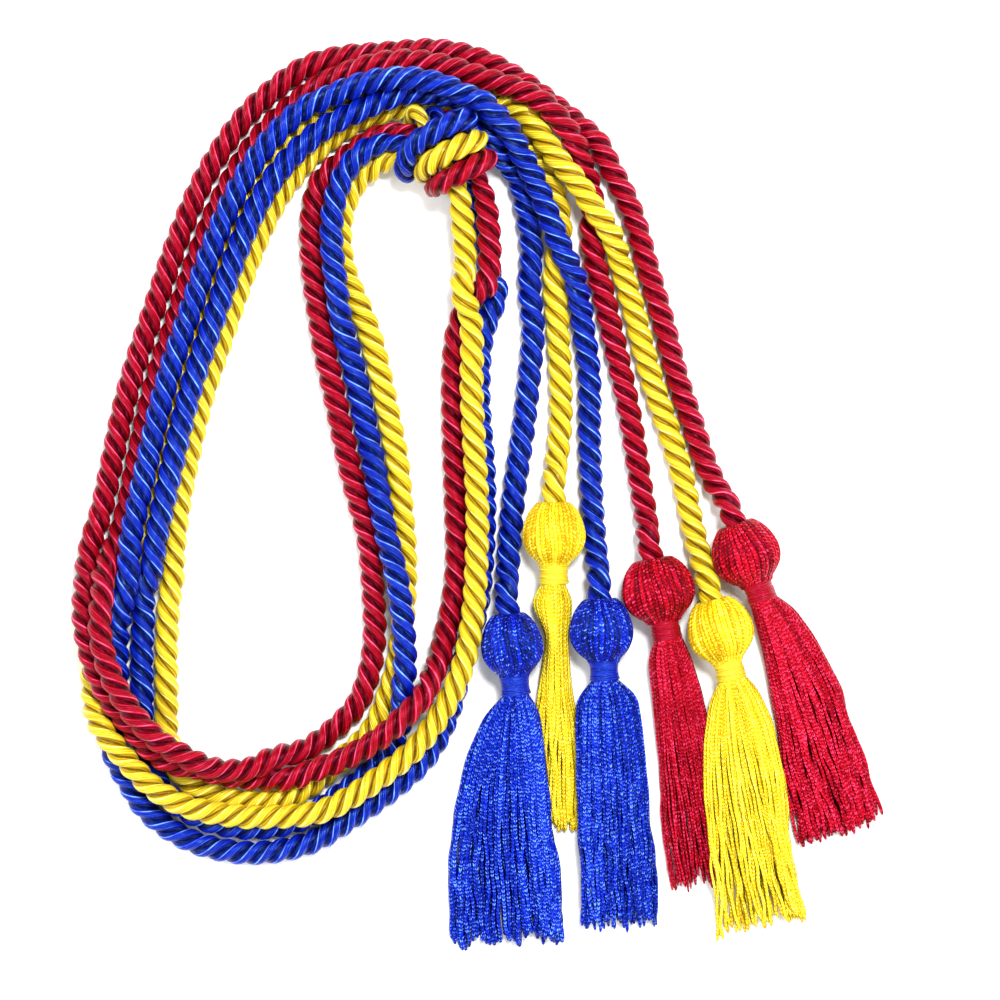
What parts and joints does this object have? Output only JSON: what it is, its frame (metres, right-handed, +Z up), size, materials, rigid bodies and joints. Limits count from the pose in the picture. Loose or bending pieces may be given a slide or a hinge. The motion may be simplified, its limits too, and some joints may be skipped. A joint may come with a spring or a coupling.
{
  "type": "honor cord",
  "caption": "Twisted satin cords in red, blue and gold, tied together in one knot and laid flat in loose loops, with a tassel at each end.",
  "frame": {"origin": "on the surface that the cords lie on, under the middle of the box round the tassels", "axes": "+Z up from the surface, +Y from the tassels towards the knot, +X to the right seen from above"},
  "size_m": [0.2597, 0.2924, 0.0278],
  "materials": {
    "red_cord": "deep crimson satin rayon, three strands twisted, with a soft highlight along each strand",
    "red_head": "deep crimson rayon yarn laid in close ribs over the tassel's head",
    "red_skirt": "deep crimson chainette yarns, satin, hanging side by side",
    "red_binding": "deep crimson satin thread, wound in close turns",
    "blue_cord": "royal blue satin rayon, three strands twisted, with a soft highlight along each strand",
    "blue_head": "royal blue rayon yarn laid in close ribs over the tassel's head",
    "blue_skirt": "royal blue chainette yarns, satin, hanging side by side",
    "blue_binding": "royal blue satin thread, wound in close turns",
    "gold_cord": "bright yellow-gold satin rayon, three strands twisted, with a soft highlight along each strand",
    "gold_head": "bright yellow-gold rayon yarn laid in close ribs over the tassel's head",
    "gold_skirt": "bright yellow-gold chainette yarns, satin, hanging side by side",
    "gold_binding": "bright yellow-gold satin thread, wound in close turns"
  },
  "bodies": {
    "root": {"cord_red": "red_cord", "cord_blue": "blue_cord", "cord_gold": "gold_cord", "tassel_red_1": "red_skirt", "binding_red_1": "red_binding", "tassel_red_2": "red_skirt", "binding_red_2": "red_binding", "tassel_blue_1": "blue_skirt", "binding_blue_1": "blue_binding", "tassel_blue_2": "blue_skirt", "binding_blue_2": "blue_binding", "tassel_gold_1": "gold_skirt", "binding_gold_1": "gold_binding", "tassel_gold_2": "gold_skirt", "binding_gold_2": "gold_binding"}
  },
  "joints": []
}
